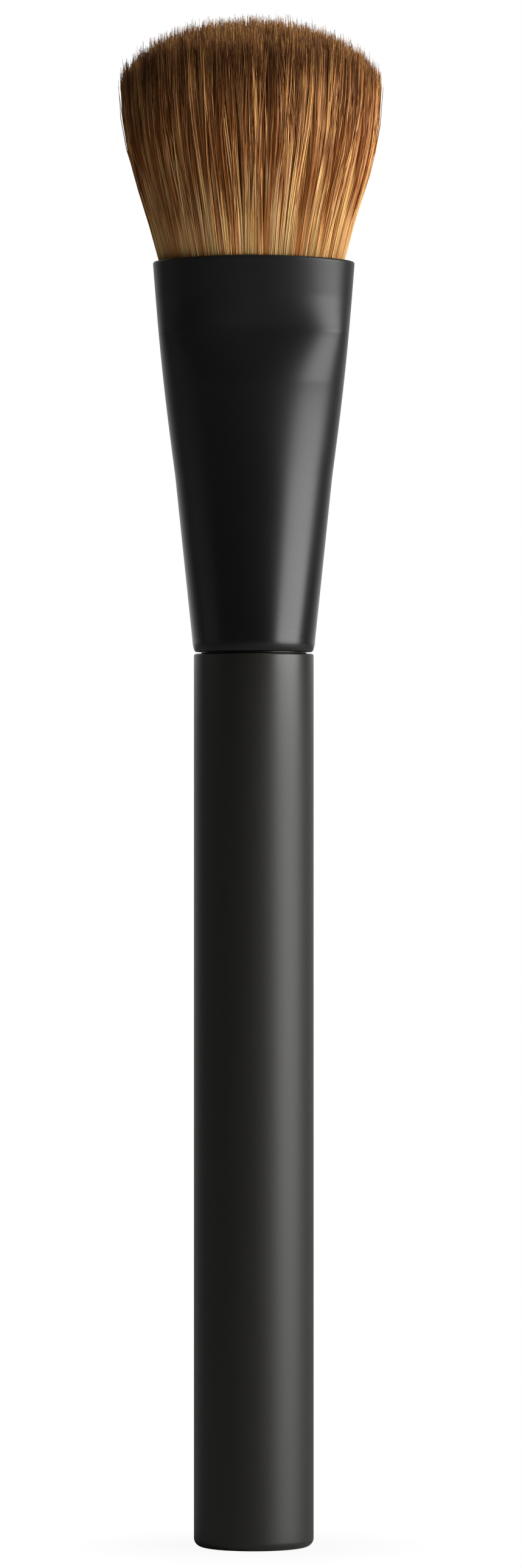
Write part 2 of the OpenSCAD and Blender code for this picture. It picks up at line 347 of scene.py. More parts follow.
# %% [markdown]
# ## The handle
#
# The handle is one turned stick: a flat end with a rounded edge, a straight barrel, a shoulder, and a tenon
# that hides in the ferrule. It could be a cylinder with bevels, but turning is how it is really made, and
# it is how it is made here too: an outline of radius and height is spun round the axis. The outline has
# finer arcs at its edges than the solid has, since a lacquered edge is never a sharp bevel.

# %% The handle's sizes
_, handle_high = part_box("handle")
BARREL = handle_high.x
TENON_TOP = handle_high.z
SHOULDER_TOP = TENON_TOP - 14 * MM
END_EDGE, TOP_EDGE = 0.9 * MM, 0.2 * MM
NECK, NECK_TOP, NECK_FILLET = 5.55 * MM, SHOULDER_TOP + 1.9 * MM, 0.1 * MM
TENON, TENON_EDGE = 5.85 * MM, 0.8 * MM
GROOVES, GROOVE_WIDTH, GROOVE_DEPTH = 2, 1.6 * MM, 0.4 * MM
BARREL_RING_SHARES = (0.02, 0.2, 0.4, 0.6, 0.8, 0.98)
print("barrel in mm:", round(2 * BARREL / MM, 2), "thick, shoulder at", round(SHOULDER_TOP / MM, 1))


# %% Its outline
def arc(radius, height, reach, start, stop, steps=8):
    """Points on an arc round a radius and height, with its angles in degrees."""
    points = []
    for step in range(steps + 1):
        angle = math.radians(start + (stop - start) * step / steps)
        points.append((radius + reach * math.cos(angle), height + reach * math.sin(angle)))
    return points


def handle_outline():
    """Radius and height, from the flat end's edge to the tenon's top."""
    outline = [(BARREL - 2 * END_EDGE, 0)]
    outline += arc(BARREL - END_EDGE, END_EDGE, END_EDGE, -90, 0, steps=12)
    outline += [(BARREL, SHOULDER_TOP * share) for share in BARREL_RING_SHARES]
    outline += arc(BARREL - TOP_EDGE, SHOULDER_TOP - TOP_EDGE, TOP_EDGE, 0, 90)
    outline += [(NECK + NECK_FILLET, SHOULDER_TOP), (NECK, SHOULDER_TOP + NECK_FILLET)]
    outline += [(NECK, NECK_TOP), (TENON, NECK_TOP + TENON - NECK)]
    top = TENON_TOP - TENON_EDGE
    bottom = TENON - GROOVE_DEPTH
    for groove in range(1, GROOVES + 1):
        low = NECK_TOP + (top - NECK_TOP) * groove / (GROOVES + 1) - GROOVE_WIDTH / 2
        high = low + GROOVE_WIDTH
        outline += [(TENON, low), (bottom, low + GROOVE_DEPTH), (bottom, high - GROOVE_DEPTH), (TENON, high)]
    return outline + [(TENON, top), (TENON - TENON_EDGE, TENON_TOP)]


print("points on the handle's outline:", len(handle_outline()))

# %% [markdown]
# ### Black lacquer
#
# The handle's coat is a satin black with a trace of warmth. Dipped lacquer never dries quite flat: it keeps
# a faint orange peel about half a millimetre across, and long shallow runs along the wood, and it is a
# little glossier toward the shoulder. All this is far too small to see as relief, but it breaks the long
# highlight up, and that makes it look real. One flat colour with one gloss would look moulded.

# %% Lacquer for the handle
PEEL, LACQUER_RUNS = (1900, 1900, 1500), (420, 420, 28)
LACQUER_DARK, LACQUER_LIGHT = (0.0120, 0.0112, 0.0085), (0.0170, 0.0158, 0.0120)
GLOSS_RUN = 16.5 * MM


def lacquer_finish():
    material, tree, shader = new_finish("satin_black_lacquer")
    peel = object_noise(tree, PEEL, detail=2)
    runs = object_noise(tree, LACQUER_RUNS, detail=3)
    height = parts_of(tree, object_place(tree))[2]
    glossy = share_between(height, SHOULDER_TOP - GLOSS_RUN, SHOULDER_TOP) ** 2
    inputs = {
        "Base Color": between_colours(tree, runs, LACQUER_DARK, LACQUER_LIGHT),
        "Roughness": 0.43 + 0.05 * runs + 0.03 * peel - 0.12 * glossy,
        "Specular IOR Level": 0.55,
    }
    feed(tree, shader, inputs)
    add_bump(tree, shader, 0.6 * peel + 0.4 * runs, 0.006 * MM)
    return material


lacquer = lacquer_finish()
print("finish:", lacquer.name)

# %% [markdown]
# A skin over rings of points is all that a turned piece needs, with a fan of faces at each end to close it.
# Blender's Screw modifier could spin the outline too, but this helper doesn't ask for round rings, so it
# makes the oval bed of the hair as well. Only sharp edges stay sharp, and all others are shaded smooth.

# %% A closed skin over rings
SHARP_ANGLE = math.radians(35)


def closed_skin(rings):
    """Points and faces of a skin over rings of points, with a fan round the middle at each end."""
    around = len(rings[0])
    first_height, last_height = rings[0][0][2], rings[-1][0][2]
    points = [(0, 0, first_height), *(point for ring in rings for point in ring), (0, 0, last_height)]
    last, tip = 1 + (len(rings) - 1) * around, len(points) - 1
    faces = []
    for step in range(around):
        after = (step + 1) % around
        faces.append((0, 1 + after, 1 + step))
        for low in range(1, last, around):
            high = low + around
            faces.append((low + step, low + after, high + after, high + step))
        faces.append((last + step, last + after, tip))
    return points, faces


def kept_piece(name, rings, material, node):
    """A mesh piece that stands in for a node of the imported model."""
    points, faces = closed_skin(rings)
    mesh = bpy.data.meshes.new(name)
    mesh.from_pydata(points, [], faces)
    mesh.polygons.foreach_set("use_smooth", [True] * len(mesh.polygons))
    mesh.set_sharp_from_angle(angle=SHARP_ANGLE)
    mesh.materials.append(material)
    piece = bpy.data.objects.new(name, mesh)
    bpy.context.scene.collection.objects.link(piece)
    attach(piece, "root")
    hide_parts(node)
    print(name, "has", sum(len(face) - 2 for face in faces), "triangles")


# %% Turn the handle
def turned(outline, around=160):
    """Rings of points, one for each radius and height."""
    rings = []
    for radius, height in outline:
        turns = [math.tau * step / around for step in range(around)]
        rings.append([(radius * math.cos(turn), radius * math.sin(turn), height) for turn in turns])
    return rings


kept_piece("turned_handle", turned(handle_outline()), lacquer, "handle")

# %% [markdown]
# ## The ferrule
#
# The shell follows one rule from end to end. Its width grows evenly from the base to the mouth. Its depth
# grows less, so that the round base turns into an oval. A die has pinched the mouth as well: the depth falls
# over a shoulder to a crease, and above the crease it runs up a flat band to the rim. The metal that the die
# pushed in has spread sideways a little, and the sections, which are ellipses, are squarer near the crease.
# The rim arches up in the middle of both wide faces. A shell like this could be lofted or sculpted, but only
# a rule keeps it as even as a drawn one.

# %% The ferrule's sizes
ferrule_low, ferrule_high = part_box("ferrule")
RIM = ferrule_high.z
WALL = 0.5 * MM
LIP_RADIUS = 2.5 * MM
LIP_ANGLE = math.radians(30)
BASE_HALF = 6.5 * MM
MOUTH_HALF_WIDTH, MOUTH_HALF_DEPTH = ferrule_high.x, 7.3 * MM
BAND_HEIGHT, PINCH_HEIGHT, PINCH_BEND = 7.6 * MM, 5.4 * MM, 1.5
CREASE_HALF_DEPTH, CREASE_FILLET = 6.0 * MM, 0.5 * MM
SHOULDER_DEPTH_SHARE = 0.75
OVAL_LEAD = 0.6
OVAL_SQUARENESS, CREASE_SQUARENESS, BAND_SQUARENESS = 2.0, 3.2, 2.35
SQUARE_RUN, SQUARE_RUN_CURVE = 4 * PINCH_HEIGHT, 6
SQUARE_RISE, SQUARE_RISE_CURVE = 0.5 * BAND_HEIGHT, 1.5
PINCH_SPREAD, SPREAD_RUN = 0.2 * MM, 2.8 * PINCH_HEIGHT
RIM_ARCH, ARCH_CURVE = 0.3 * MM, 1.5

LIP_CENTRE = ferrule_low.z + LIP_RADIUS * math.sin(LIP_ANGLE)
CREASE = RIM - BAND_HEIGHT
SHOULDER = CREASE - PINCH_HEIGHT
print("crease at", round(CREASE / MM, 1), "mm, rim at", round(RIM / MM, 1), "mm")


# %% The rule of its sections
def cone_half_width(height):
    return BASE_HALF + (MOUTH_HALF_WIDTH - BASE_HALF) * ((height - LIP_CENTRE) / (RIM - LIP_CENTRE))


def half_width(height):
    spread = sine(math.pi * share_between(height, CREASE - SPREAD_RUN, RIM))
    return cone_half_width(height) + PINCH_SPREAD * spread


def half_depth(height):
    up = share_between(height, LIP_CENTRE, SHOULDER)
    flattened = (1 - SHOULDER_DEPTH_SHARE) * up * (1 + OVAL_LEAD * (1 - up))
    cone = cone_half_width(smaller(height, SHOULDER)) * (1 - flattened)
    fall = cone_half_width(SHOULDER) * SHOULDER_DEPTH_SHARE - CREASE_HALF_DEPTH
    pinched = cone - fall * larger((height - SHOULDER) / PINCH_HEIGHT, 0) ** PINCH_BEND
    band = CREASE_HALF_DEPTH + (MOUTH_HALF_DEPTH - CREASE_HALF_DEPTH) * ((height - CREASE) / BAND_HEIGHT)
    return eased_larger(pinched, band, CREASE_FILLET)


def squareness(height):
    run = larger(1 - larger(CREASE - height, 0) / SQUARE_RUN, 0) ** SQUARE_RUN_CURVE
    rise = larger(1 - larger(height - CREASE, 0) / SQUARE_RISE, 0) ** SQUARE_RISE_CURVE
    pressed = BAND_SQUARENESS + (CREASE_SQUARENESS - BAND_SQUARENESS) * rise
    return OVAL_SQUARENESS + (pressed - OVAL_SQUARENESS) * run


def oval(turn, across, deep, square):
    """A point of an oval: 2 is an ellipse, and more is squarer."""
    x = sign_of(cosine(turn)) * size_of(cosine(turn)) ** (2 / square) * across
    y = sign_of(sine(turn)) * size_of(sine(turn)) ** (2 / square) * deep
    return x, y


for name, height in (("shoulder", SHOULDER), ("crease", CREASE), ("rim", RIM)):
    sizes = half_width(height), half_depth(height)
    print(name, "half width and half depth in mm:", [round(v / MM, 2) for v in sizes])

# %% [markdown]
# The shell's skin is a grid that is rolled round. One direction of the grid turns round the axis. The other
# walks once round the wall's own section: up the outer face, over the rim, down the inner face and under the
# lip's edge. Both edges are half rounds as thick as the wall, because a drawn shell has no knife edge, and
# the rim's thin line of light comes from just that. The lip at the base is rolled in on an arc.

# %% Walk round the wall
OUTER_END, RIM_END, INNER_END = 0.57, 0.61, 0.97


def wall_walk(walk, wall, lip):
    """Height above the lip's centre and depth in the wall, for a share of the walk round the wall."""
    up = share_between(walk, 0.0, OUTER_END)
    over = share_between(walk, OUTER_END, RIM_END)
    down = share_between(walk, RIM_END, INNER_END)
    under = share_between(walk, INNER_END, 1.0)
    lip_length = lip * LIP_ANGLE - wall / 2
    top = RIM - LIP_CENTRE - wall / 2
    along = (top + lip_length) * (up - down) - lip_length
    along = along + wall / 2 * (sine(over * math.pi) - sine(under * math.pi))
    inset = wall / 2 * (cosine(under * math.pi) - cosine(over * math.pi))
    return along, inset


def shell_point(turn, walk, wall, lip, arch):
    """A point of the shell's skin, for a turn round the axis and a share of the walk."""
    along, inset = wall_walk(walk, wall, lip)
    roll = larger(-along, 0) / lip
    law_height = larger(along, 0) + LIP_CENTRE
    rolled_in = (lip - inset) * (1 - cosine(roll))
    height = law_height - (lip - inset) * sine(roll)
    across = half_width(law_height) - inset - rolled_in
    deep = half_depth(law_height) - inset - rolled_in
    x, y = oval(turn, across, deep, squareness(law_height))
    side = size_of(x) / half_width(law_height)
    raised = arch * share_between(law_height, CREASE, RIM) ** 2 * larger(1 - side**2, 0) ** ARCH_CURVE
    return x, y, height + raised


for name, turn in (("side", 0), ("front", -math.pi / 2)):
    point = shell_point(turn, (OUTER_END + RIM_END) / 2, WALL, LIP_RADIUS, RIM_ARCH)
    print("the rim's edge at the", name, "in mm:", [round(v / MM, 2) for v in point])

# %% [markdown]
# ### Black anodised aluminium
#
# Anodising dyes the metal's own oxide and leaves a dark skin with a soft gloss. It could be a metal shader
# with a black colour, but the dyed skin reflects more like a coat, so a plain dark finish comes closer. The
# drawing tool's fine rings, about a tenth of a millimetre apart, stay visible under the dye as a slight
# flicker in the roughness. The gloss is finest just over the seam and softens toward the mouth, so the
# roughness grows with the height, and the highlight widens with it.

# %% Anodised metal for the ferrule
TOOL_RINGS, METAL_CLOUD = (60, 60, 9000), (160, 160, 120)
DYE_DARK, DYE_LIGHT = (0.002, 0.0021, 0.0023), (0.0035, 0.0036, 0.0038)
SEAM_BAND = 0.2 * MM


def anodised_finish():
    material, tree, shader = new_finish("black_anodised")
    rings = object_noise(tree, TOOL_RINGS, detail=2)
    cloud = object_noise(tree, METAL_CLOUD, detail=3)
    height = parts_of(tree, object_place(tree))[2]
    dulled = share_between(height, ferrule_low.z + SEAM_BAND, RIM)
    inputs = {
        "Base Color": between_colours(tree, cloud, DYE_DARK, DYE_LIGHT),
        "Roughness": 0.225 + 0.16 * dulled + 0.04 * rings + 0.05 * cloud,
        "Specular IOR Level": 0.52,
    }
    feed(tree, shader, inputs)
    add_bump(tree, shader, rings, 0.0012 * MM)
    return material


anodised = anodised_finish()
print("finish:", anodised.name)

# %% Grow the ferrule
SEAM_REACH = 0.002 * MM


def ferrule_tree():
    sizes = {"Around": 144, "Rows": 270, "Wall": WALL, "Lip": LIP_RADIUS, "Arch": RIM_ARCH}
    tree, given = start_tree("pinched_shell", **sizes)
    unit = {"Size X": 1.0, "Size Y": 1.0, "Vertices X": given["Around"], "Vertices Y": given["Rows"]}
    grid = add_node(tree, "GeometryNodeMeshGrid", unit)
    column, row, _ = parts_of(tree, add_node(tree, "GeometryNodeInputPosition").outputs[0])
    turn, walk = (column + 0.5) * math.tau, row + 0.5
    point = shell_point(turn, walk, given["Wall"], given["Lip"], given["Arch"])
    shaped = moved_to(tree, grid.outputs["Mesh"], vector_of(tree, *point))
    closed = add_node(tree, "GeometryNodeMergeByDistance", {"Geometry": shaped, "Distance": SEAM_REACH})
    return end_tree(tree, closed.outputs[0], anodised)


ferrule = grown("ferrule_shell", ferrule_tree(), anodised)
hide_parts("ferrule")

# %% [markdown]
# ## The hair
#
# The tuft holds tens of thousands of hairs, each a tenth of a millimetre thick. Seen from a step away they
# read as fine streaks, golden at the roots and dark brown at the tips, and the eye notices at once when they
# are painted on and not there. So every hair is real, but cheap: a prism with three sides that tapers to its
# tip. Blender's own hair would look as fine, but it has no mesh to hand on. The hairs are shared out over
# eight pieces, which keeps each mesh light enough.

# %% Hair sizes
tuft_low, tuft_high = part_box("hair_tuft")
HAIRS, HAIR_PIECES = 41600, 8
HAIR_RADIUS, HAIR_STEPS = 0.056 * MM, 6
BED = RIM - 1.5 * MM
GOLDEN_ANGLE = math.pi * (3 - math.sqrt(5))
print("hairs stand", round((tuft_high.z - RIM) / MM, 1), "mm out of the rim")

# %% [markdown]
# ### Brown hair
#
# Natural hair is never one brown. Here each hair has a tone of its own, from dark to light, and its colour
# runs along it, from golden near the root to dark at the tip. Right at the root both ramps are painted paler
# still, as painted light that stands in for light shining through the hair and lifts the shade of the rim
# there. The hue swings a little with the tone, now rosier and now yellower, and the dark hairs are the more
# saturated ones. The tree of the hair writes both numbers down as attributes, and the finish below reads
# them, so the pattern follows every hair. Noise on coordinates would run straight through the hairs instead.

# %% Finish for the hair
COLOUR_PLACES = (0.0, 0.3, 0.6, 0.86, 1.0)
# The first colour of each ramp, at the root, is painted light: paler than the hair, for light through it and
# against the rim's shade.
DARK_HAIR = (
    (1.0, 0.455, 0.145),
    (0.45, 0.165, 0.040),
    (0.37, 0.126, 0.029),
    (0.22, 0.084, 0.025),
    (0.17, 0.068, 0.026),
)
LIGHT_HAIR = (
    (1.0, 0.720, 0.350),
    (1.0, 0.635, 0.285),
    (1.0, 0.58, 0.245),
    (0.98, 0.50, 0.190),
    (0.86, 0.445, 0.175),
)
ROSY, YELLOW = (1.02, 0.96, 1.10), (1.0, 1.0, 0.82)
HUE_SWINGS = 21


def colours_along(tree, along, colours):
    """A colour ramp from the root to the tip."""
    ramp = add_node(tree, "ShaderNodeValToRGB", {"Fac": along})
    elements = ramp.color_ramp.elements
    while len(elements) < len(colours):
        elements.new(0.5)
    for element, place, colour in zip(elements, COLOUR_PLACES, colours):
        element.position = place
        element.color = (*colour, 1)
    return ramp.outputs["Color"]


def hair_finish():
    material, tree, shader = new_finish("brown_hair")
    along = add_node(tree, "ShaderNodeAttribute", attribute_name="along").outputs["Fac"]
    tone = Number(tree, add_node(tree, "ShaderNodeAttribute", attribute_name="tone").outputs["Fac"])
    dark = colours_along(tree, along, DARK_HAIR)
    light = colours_along(tree, along, LIGHT_HAIR)
    swing = 0.5 + 0.5 * sine(tone * HUE_SWINGS)
    layers = {
        "Factor": 1.0,
        "A": between_colours(tree, tone, dark, light),
        "B": between_colours(tree, swing, ROSY, YELLOW),
    }
    tinted = add_node(tree, "ShaderNodeMix", layers, data_type="RGBA", blend_type="MULTIPLY")
    inputs = {"Base Color": tinted.outputs["Result"], "Roughness": 0.45, "Specular IOR Level": 0.15}
    feed(tree, shader, inputs)
    return material


hair_brown = hair_finish()
print("finish:", hair_brown.name, "with", len(COLOUR_PLACES), "colours along each hair")

# %% [markdown]
# ### Roots
#
# The roots stand in a sunflower's spiral, which fills an oval evenly with any number of points, and each
# root carries one prism. Rows and columns would show as stripes from the side. A prism bends only at its
# rings, so these are bunched a little above its middle, where the hair turns upright. Everything that
# happens to a hair later depends on its root, its number and its own straight shape, and the tree captures
# these three before it makes the copies real.


# %% Helpers for the hair's tree
def captured(tree, geometry, socket, kind):
    """Writes a field down on a geometry's points; returns the geometry and the kept value."""
    node = add_node(tree, "GeometryNodeCaptureAttribute", {"Geometry": geometry})
    node.capture_items.new(kind, "kept")
    tree.links.new(socket, node.inputs[1])
    return node.outputs["Geometry"], node.outputs[1]


def stored(tree, geometry, name, value, kind="FLOAT", domain="POINT"):
    """Writes a field down under a name."""
    settings = {"data_type": kind, "domain": domain}
    inputs = {"Geometry": geometry, "Name": name, "Value": value}
    return add_node(tree, "GeometryNodeStoreNamedAttribute", inputs, **settings).outputs["Geometry"]


# %% Root the hairs
RINGS_BUNCHED, RINGS_RAISED = 0.06, 0.9


def rooted_hairs(tree, given):
    """One prism for each hair of this piece, and the values that its next steps need."""
    count = given["Hairs"] / given["Pieces"]
    points = add_node(tree, "GeometryNodePoints", {"Count": count}).outputs[0]
    index = Number(tree, add_node(tree, "GeometryNodeInputIndex").outputs[0])
    number = index * given["Pieces"] + given["Piece"]
    reach = root((number + 0.5) / given["Hairs"])
    spiral = number * GOLDEN_ANGLE
    spot = vector_of(tree, reach * cosine(spiral), reach * sine(spiral))
    roots, kept_spot = captured(tree, moved_to(tree, points, spot), spot, "VECTOR")
    roots, kept_number = captured(tree, roots, number.socket, "INT")

    sizes = {"Vertices": 3, "Side Segments": HAIR_STEPS, "Radius": 1.0, "Depth": 1.0}
    prism = add_node(tree, "GeometryNodeMeshCylinder", sizes, fill_type="NGON").outputs["Mesh"]
    position = add_node(tree, "GeometryNodeInputPosition").outputs[0]
    prism, kept_ring = captured(tree, prism, position, "VECTOR")
    copies = add_node(tree, "GeometryNodeInstanceOnPoints", {"Points": roots, "Instance": prism})
    real = add_node(tree, "GeometryNodeRealizeInstances", {"Geometry": copies.outputs[0]})

    hair = SimpleNamespace(tree=tree, given=given, mesh=real.outputs[0], spot=kept_spot)
    hair.number = Number(tree, kept_number)
    hair.ring_x, hair.ring_y, ring_z = parts_of(tree, kept_ring)
    share = ring_z + 0.5
    hair.along = (share + RINGS_BUNCHED * sine(share * math.tau)) ** RINGS_RAISED
    return hair


# %% [markdown]
# ### Clumps and chance
#
# Real hair never stands in the order of a spiral, and the order is spoiled the way nature spoils it. A
# Voronoi texture over the roots sorts the hairs into small clumps, and a soft noise into wider locks. The
# hairs of a clump draw together, each clump and each lock leans its own way, and single hairs wave, stray
# and stand proud. Moving every hair by chance alone would give fur, not the streaks of a brush. Each draw by
# chance has a seed of its own, so that the tuft is the same in every run.

# %% Sort the hairs
LOCKS = 5.0
DRAWN, HEADING, STRAYING, WAVING, PROUD, SHORT, TWIST, TONE = range(8)


def chance(hair, draw, low=0.0, high=1.0):
    """A number by chance for each hair."""
    inputs = {"ID": hair.number, "Seed": hair.given["Seed"] + draw}
    node = add_node(hair.tree, "FunctionNodeRandomValue", inputs, data_type="FLOAT")
    floats = [socket for socket in node.inputs if socket.type == "VALUE"]
    floats[0].default_value, floats[1].default_value = low, high
    return Number(hair.tree, next(socket for socket in node.outputs if socket.type == "VALUE"))


def sort_hairs(hair):
    """Gives each hair its clump's middle, and three numbers by chance each from its clump and its lock."""
    inputs = {"Vector": hair.spot, "Scale": hair.given["Clumps"]}
    cells = add_node(hair.tree, "ShaderNodeTexVoronoi", inputs, voronoi_dimensions="2D")
    hair.clump_x, hair.clump_y, _ = parts_of(hair.tree, cells.outputs["Position"])
    hair.clump = parts_of(hair.tree, cells.outputs["Color"])
    inputs = {"Vector": hair.spot, "Scale": LOCKS, "Detail": 1.0}
    hair.lock = parts_of(hair.tree, add_node(hair.tree, "ShaderNodeTexNoise", inputs).outputs["Color"])


# %% Comb the hairs
LEAST_DRAW = 0.35
LEAN_CURVE, PROUD_CURVE = 1.35, 6
WAVE_ANGLE = 9
TUCK = 0.03


def combed(hair):
    """Where the hair is in a unit oval, at each of its heights."""
    given, along = hair.given, hair.along
    clump_a, clump_b, clump_c = hair.clump
    draw = given["Draw"] * along * (LEAST_DRAW + (1 - LEAST_DRAW) * chance(hair, DRAWN))
    bent = along**LEAN_CURVE

    def pulled(start, middle, clump_chance, lock_chance):
        lean = given["Lean"] * (clump_chance - 0.5) + given["Lock_Lean"] * (lock_chance - 0.5)
        return start + (middle - start) * draw + bent * lean

    heading = chance(hair, HEADING, 0, math.tau)
    astray = given["Stray"] * bent * chance(hair, STRAYING) ** 2
    phase = math.tau * clump_c + chance(hair, WAVING)
    wave = given["Wave"] * along * sine(phase + along * WAVE_ANGLE)
    root_x, root_y, _ = parts_of(hair.tree, hair.spot)
    x = pulled(root_x, hair.clump_x, clump_a, hair.lock[0]) + astray * cosine(heading) + wave
    y = pulled(root_y, hair.clump_y, clump_b, hair.lock[1]) + astray * sine(heading)
    return kept_inside(hair, x, y)


def kept_inside(hair, x, y):
    """Pushes a hair that leans out back to the tuft's side. A few stand proud of it."""
    proud = hair.given["Proud"] * hair.along * chance(hair, PROUD) ** PROUD_CURVE
    room = 1 + proud - TUCK * hair.along * hair.clump[2]
    keep = room / larger(root(x * x + y * y), room)
    return x * keep, y * keep


# %% [markdown]
# ### Splay and crown
#
# A knot of hair is shaped in a cup before it is bound. So the hairs splay evenly out of the mouth and then
# bend upright to the belly, and their tips end on a low crown that falls to its sides. No two of them end at
# quite the same height, and some clumps are shorter than their neighbours, so that the crown's edge is soft.
# The knot isn't set quite true, so the tuft stands a little left of the middle. A lattice could bend the
# whole tuft at once, but a rule for each hair leaves every hair its own length and its own tip.

# %% Stand the hairs
CROWN_CAP, CROWN_EDGE, CROWN_FRONT = 3.4 * MM, 2.0 * MM, 2.6 * MM
TIP_RISE, SHORT_CURVE = 1.1 * MM, 0.33
MOUTH_X, MOUTH_Y = 9.62 * MM, 6.68 * MM
BELLY_X, BELLY_Y = tuft_high.x + 2 * HAIR_RADIUS, tuft_high.y - HAIR_RADIUS
FLARE_X, FLARE_Y = 0.314, 0.225
MOUTH_SLOPE = (MOUTH_HALF_DEPTH - CREASE_HALF_DEPTH) / BAND_HEIGHT
BEND_REACH = 2.8 * MM
TUFT_LEFT, TUFT_LEAN = 0.22 * MM, 0.12 * MM
TAPER, TAPER_CURVE = 0.75, 6


def tip_height(hair, x, y):
    fallen = hair.given["Short"] * chance(hair, SHORT) ** SHORT_CURVE
    fallen = fallen + hair.given["Clump_Short"] * hair.clump[2] * hair.clump[0]
    side, front = size_of(x), size_of(y)
    crown = CROWN_CAP * side**2 + CROWN_EDGE * side**4 + CROWN_FRONT * front**4
    return tuft_high.z + TIP_RISE - crown - fallen


def splayed(spot, mouth, belly, flare, height):
    """Distance from the middle at a height: an even flare that bends to the belly."""
    flared = mouth + flare * larger(height - RIM, 0) - MOUTH_SLOPE * larger(RIM - height, 0)
    return spot * -eased_larger(-flared, -belly, BEND_REACH)


def standing(hair, x, y):
    """The place of each of the prism's points, with the prism turned about its own axis by chance."""
    height = BED + (tip_height(hair, x, y) - BED) * hair.along
    across = splayed(x, MOUTH_X, BELLY_X, FLARE_X, height) - TUFT_LEFT - TUFT_LEAN * hair.along
    deep = splayed(y, MOUTH_Y, BELLY_Y, FLARE_Y, height)
    radius = hair.given["Radius"] * (1 - TAPER * hair.along**TAPER_CURVE)
    twist = chance(hair, TWIST, 0, math.tau)
    across = across + radius * (hair.ring_x * cosine(twist) - hair.ring_y * sine(twist))
    deep = deep + radius * (hair.ring_x * sine(twist) + hair.ring_y * cosine(twist))
    return vector_of(hair.tree, across, deep, height)


print("half the belly's width and depth in mm:", round(BELLY_X / MM, 2), round(BELLY_Y / MM, 2))

# %% [markdown]
# ### Tones
#
# A streak is a clump whose hairs have nearly one tone. So most of the tone comes from the clump, and less
# from the hair itself and from its lock. A noise that drifts along the clump adds painted sheen and shade,
# the breaks of light along wavy hair, so that streaks begin and end part way up. The contrast is painted
# strongest near the roots, as painted light and shade where the light gets between the clumps. The tree
# also writes a UV map with tone across it and length up it, so that one small picture of the colours can be
# baked for all hairs at once.

# %% Tone the hairs
CLUMP_TONE, OWN_TONE, LOCK_TONE = 2.2, 0.45, 0.35
MIDDLE_TONE, ROOT_CONTRAST, TIP_CONTRAST = 0.57, 1.4, 1.0
CLUMPS_APART, PAINTED_SHEEN_STEPS = 97, 9
CHART_MARGIN_X, CHART_MARGIN_Y, CHART_RING = 0.02, 0.01, 0.01


def tone_of(hair):
    apart = hair.clump_x * CLUMPS_APART, hair.clump_y * CLUMPS_APART
    # Painted sheen and shade: a noise that drifts along each clump.
    inputs = {"Vector": vector_of(hair.tree, *apart, hair.along * PAINTED_SHEEN_STEPS), "Scale": 1.0, "Detail": 1.0}
    painted_sheen = Number(hair.tree, add_node(hair.tree, "ShaderNodeTexNoise", inputs).outputs["Fac"])
    mixed = CLUMP_TONE * (hair.clump[1] - 0.5) + OWN_TONE * (chance(hair, TONE) - 0.5)
    mixed = mixed + LOCK_TONE * (hair.lock[2] - 0.5) + hair.given["Painted_Sheen"] * (painted_sheen - 0.5)
    # The contrast is painted stronger near the roots, as painted light and shade between the clumps.
    contrast = ROOT_CONTRAST - (ROOT_CONTRAST - TIP_CONTRAST) * hair.along
    return smaller(larger(MIDDLE_TONE + mixed * contrast, 0.0), 1.0)


def toned(hair, geometry):
    """Writes the tone, the length along the hair and the UV map down on the mesh."""
    tone = tone_of(hair)
    geometry = stored(hair.tree, geometry, "tone", tone)
    geometry = stored(hair.tree, geometry, "along", hair.along)
    chart_x = CHART_MARGIN_X + (1 - 2 * CHART_MARGIN_X) * tone + CHART_RING * hair.ring_x
    chart_y = CHART_MARGIN_Y + (1 - 2 * CHART_MARGIN_Y) * hair.along
    chart = vector_of(hair.tree, chart_x, chart_y)
    return stored(hair.tree, geometry, "OFBake", chart, kind="FLOAT2", domain="CORNER")


# %% The hair's tree
def hair_tree():
    sizes = {
        "Hairs": HAIRS,
        "Pieces": HAIR_PIECES,
        "Piece": 0,
        "Seed": 1,
        "Radius": HAIR_RADIUS,
        "Clumps": 36.0,
        "Draw": 0.5,
        "Lean": 0.24,
        "Lock_Lean": 0.28,
        "Stray": 0.08,
        "Proud": 0.035,
        "Wave": 0.01,
        "Short": 2.6 * MM,
        "Clump_Short": 0.8 * MM,
        # The strength of the painted sheen and shade along the clumps.
        "Painted_Sheen": 4.6,
    }
    tree, given = start_tree("standing_hair", **sizes)
    hair = rooted_hairs(tree, given)
    sort_hairs(hair)
    shaped = moved_to(tree, hair.mesh, standing(hair, *combed(hair)))
    return end_tree(tree, toned(hair, shaped), hair_brown)


standing_hair = hair_tree()
print("nodes in the hair's tree:", len(standing_hair.nodes))

# %% Grow the hair
for piece in range(HAIR_PIECES):
    tuft = grown(f"hair_layer_{piece + 1}", standing_hair, hair_brown, Piece=piece, Seed=10 * (piece + 1))
    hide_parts("hair_tuft")

# %% [markdown]
# ## What the ferrule hides
#
# Four pieces are out of sight: the roots glued into one block, the thread they were bound with, the resin
# they were potted in and the adhesive on the tenon. Anyone who takes the part apart will see them, so they
# keep the solids' shapes and get finishes too. Cast resin is cloudy and has bubbles, glued hair is streaked
# along the hair, and thread is twisted from strands.

# %% Cast resin
RESIN_CLOUD = (260, 260, 260)
BUBBLE_PIT, BUBBLE_EDGE = 0.1, 0.35


